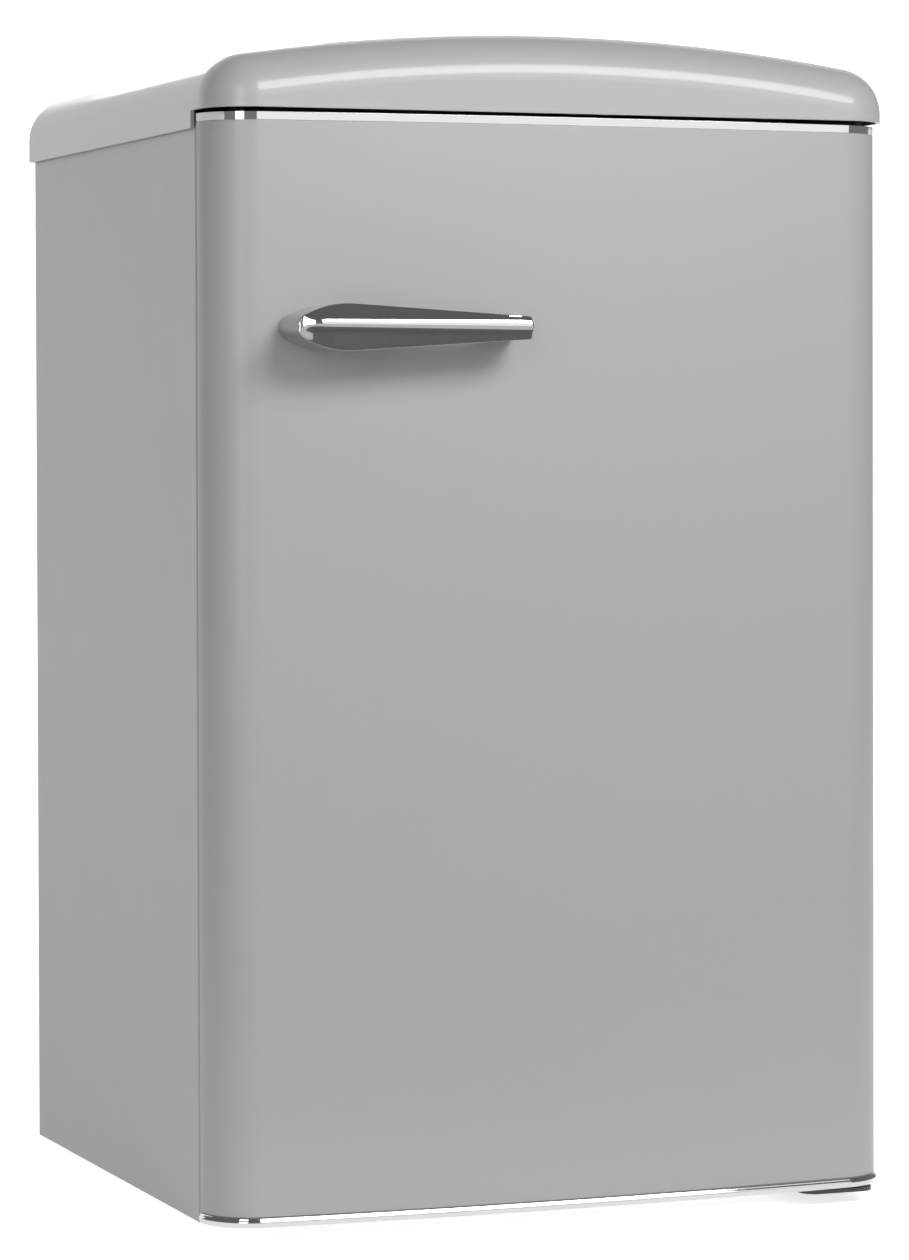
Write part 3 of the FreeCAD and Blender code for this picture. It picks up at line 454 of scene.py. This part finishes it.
def seal():
    """A folded seal: a magnet tube that meets the flange, a bellows and a dart root on the door."""
    lo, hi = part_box("door_gasket")
    deep, wide = hi.y - lo.y, 17 * MM
    profile = [
        (0.35, 0.0), (0.30, 0.06), (0.08, 0.10), (0.03, 0.22), (0.16, 0.34), (0.20, 0.44), (0.05, 0.52),
        (0.0, 0.60), (0.0, 0.90), (0.04, 1.0), (0.96, 1.0), (1.0, 0.90), (1.0, 0.62), (0.94, 0.54),
        (0.78, 0.48), (0.72, 0.36), (0.80, 0.24), (0.76, 0.12), (0.66, 0.06), (0.62, 0.0),
    ]
    stations = [
        [p - n * wide * a + Vector((0, lo.y + deep * b, 0)) for a, b in profile]
        for p, n in ring_line(lo, hi, 8 * MM)
    ]
    return sweep("folded_seal", stations, "gasket", "door", "door_gasket", ring=True, sharp=60)


seal()

# ---------------------------------------------------------------- stage, light and camera


PAPER_EDGE, PAPER_END = -0.4, -0.95  # where the paper's white, a painted glow, starts to fade in front, and where it is grey
FRONT_FAR, FRONT_NEAR = -4.0, -1.6  # between these the grey paper in front glows lighter again, painted light
BACK_NEAR, BACK_FAR = 2.0, 5.0  # between these the paper behind glows brighter, painted light
PAPER_TURN, PAPER_RADIUS, PAPER_TOP = 9.0, 3, 14.0  # where it curves up behind, how, and how high it goes
PAPER_FRONT, PAPER_HALF = -12.0, 12
# The paper glows though it is no lamp. This painted light keeps it white near and behind the object. In front
# of the object, a grey band with little glow is painted shade that the chrome reflects dark.
glowing_paper = surface("glowing_paper", (0.9, 0.9, 0.9), 0.9, tone=0.004, grain=200.0, bump=0.02, edge=0)
apart = glowing_paper.add("ShaderNodeSeparateXYZ")
glowing_paper.link(glowing_paper.place, apart.inputs["Vector"])
painted_glow_fade = glowing_paper.ramp(apart.outputs["Y"], PAPER_END, PAPER_EDGE)
glowing_paper.into("Base Color", glowing_paper.mix(painted_glow_fade, (0.5, 0.5, 0.5, 1.0), (0.7, 0.7, 0.7, 1.0)))
front = glowing_paper.ramp(apart.outputs["Y"], FRONT_FAR, FRONT_NEAR)
front_glow = glowing_paper.mix(front, (0.8, 0.8, 0.8, 1.0), (0.1, 0.1, 0.1, 1.0))
glowing_paper.into("Emission Color", glowing_paper.mix(painted_glow_fade, front_glow, (1.0, 1.0, 1.0, 1.0)))
glowing_paper.into("Emission Strength", glowing_paper.ramp(apart.outputs["Y"], BACK_NEAR, BACK_FAR, 0.72, 1.05))
sweep_line = [(PAPER_FRONT, 0.0), (PAPER_TURN, 0.0)]
sweep_line += [
    (PAPER_TURN + PAPER_RADIUS * math.sin(a), PAPER_RADIUS - PAPER_RADIUS * math.cos(a))
    for a in spread(0, math.pi / 2, 24)[1:]
]
sweep_line += [(PAPER_TURN + PAPER_RADIUS, PAPER_TOP)]
ground = bpy.data.meshes.new("floor")
ground.from_pydata(
    [(x, y, z) for y, z in sweep_line for x in (-PAPER_HALF, PAPER_HALF)], [],
    grid_faces(len(sweep_line), 2, wrap_columns=False),
)
ground.shade_smooth()
ground.materials.append(glowing_paper.mat)
floor = bpy.data.objects.new("floor", ground)
bpy.context.collection.objects.link(floor)

world = bpy.data.worlds.new("studio")
bpy.context.scene.world = world
world.use_nodes = True
backdrop = world.node_tree.nodes["Background"]
ZENITH, HORIZON = 0.18, 0.3  # the surround's strength overhead and low down
LOW, HIGH = 0.08, 0.45  # the heights, on a unit sphere, between which it changes
backdrop.inputs["Color"].default_value = (1.0, 1.0, 1.0, 1.0)
direction = world.node_tree.nodes.new("ShaderNodeTexCoord")
height = world.node_tree.nodes.new("ShaderNodeSeparateXYZ")
glow = world.node_tree.nodes.new("ShaderNodeMapRange")
for key, number in (("From Min", LOW), ("From Max", HIGH), ("To Min", HORIZON), ("To Max", ZENITH)):
    glow.inputs[key].default_value = number
world.node_tree.links.new(direction.outputs["Generated"], height.inputs["Vector"])
world.node_tree.links.new(height.outputs["Z"], glow.inputs["Value"])
world.node_tree.links.new(glow.outputs["Result"], backdrop.inputs["Strength"])


def softbox(name, spot, target, width, height, watts):
    """A rectangular area light at spot, turned to target."""
    lamp = bpy.data.lights.new(name, "AREA")
    lamp.shape = "RECTANGLE"
    lamp.size, lamp.size_y, lamp.energy = width, height, watts
    thing = bpy.data.objects.new(name, lamp)
    bpy.context.collection.objects.link(thing)
    thing.location = spot
    thing.rotation_euler = (Vector(target) - Vector(spot)).to_track_quat("-Z", "Y").to_euler()


softbox("key", (0.7, -2.2, 2.0), (0, -0.2, 0.8), 1.6, 0.8, 62)
softbox("front_wall", (1.7, -4.5, 1.7), (0.2, -0.2, 0.7), 3.6, 2.6, 37)
softbox("front_left", (-1.6, -2.2, 1.2), (-0.27, -0.2, 0.5), 0.8, 1.8, 21)
softbox("behind", (0.3, 3.8, 2.6), (0, 0.3, 0.5), 1.6, 1.2, 34)

# A dark card on the floor in front, seen only in reflections, gives the chrome its dark lower tones.
FLAG_X, FLAG_Y, FLAG_Z = (-2.0, 2.4), (-1.3, -0.42), 0.012
flag_mesh = bpy.data.meshes.new("flag")
flag_mesh.from_pydata(
    [(FLAG_X[0], FLAG_Y[0], FLAG_Z), (FLAG_X[1], FLAG_Y[0], FLAG_Z),
     (FLAG_X[1], FLAG_Y[1], FLAG_Z), (FLAG_X[0], FLAG_Y[1], FLAG_Z)], [], [(0, 1, 2, 3)]
)
flag_mesh.materials.append(surface("flag_cloth", (0.13, 0.13, 0.13), 0.9, edge=0).mat)
flag = bpy.data.objects.new("flag", flag_mesh)
bpy.context.collection.objects.link(flag)
flag.visible_camera = flag.visible_diffuse = flag.visible_shadow = flag.visible_transmission = False

eye = Vector((-1.2561, -3.3444, 0.5976))
yaw, pitch, roll = math.radians(20.69), math.radians(1.048), math.radians(-0.16)
ahead = Vector((math.sin(yaw) * math.cos(pitch), math.cos(yaw) * math.cos(pitch), -math.sin(pitch)))
side = Vector((math.cos(yaw), -math.sin(yaw), 0))
over = side.cross(ahead)
right = side * math.cos(roll) + over * math.sin(roll)
top = -side * math.sin(roll) + over * math.cos(roll)
camera = bpy.data.objects.new("camera", bpy.data.cameras.new("camera"))
bpy.context.collection.objects.link(camera)
camera.matrix_world = Matrix((
    (right.x, top.x, -ahead.x, eye.x),
    (right.y, top.y, -ahead.y, eye.y),
    (right.z, top.z, -ahead.z, eye.z),
    (0, 0, 0, 1),
))
camera.data.sensor_fit = "AUTO"
camera.data.sensor_width = 36
camera.data.lens = 127.34
camera.data.shift_y = -0.093
camera.data.clip_end = 60
bpy.context.scene.camera = camera
bpy.context.scene.view_settings.view_transform = "Standard"
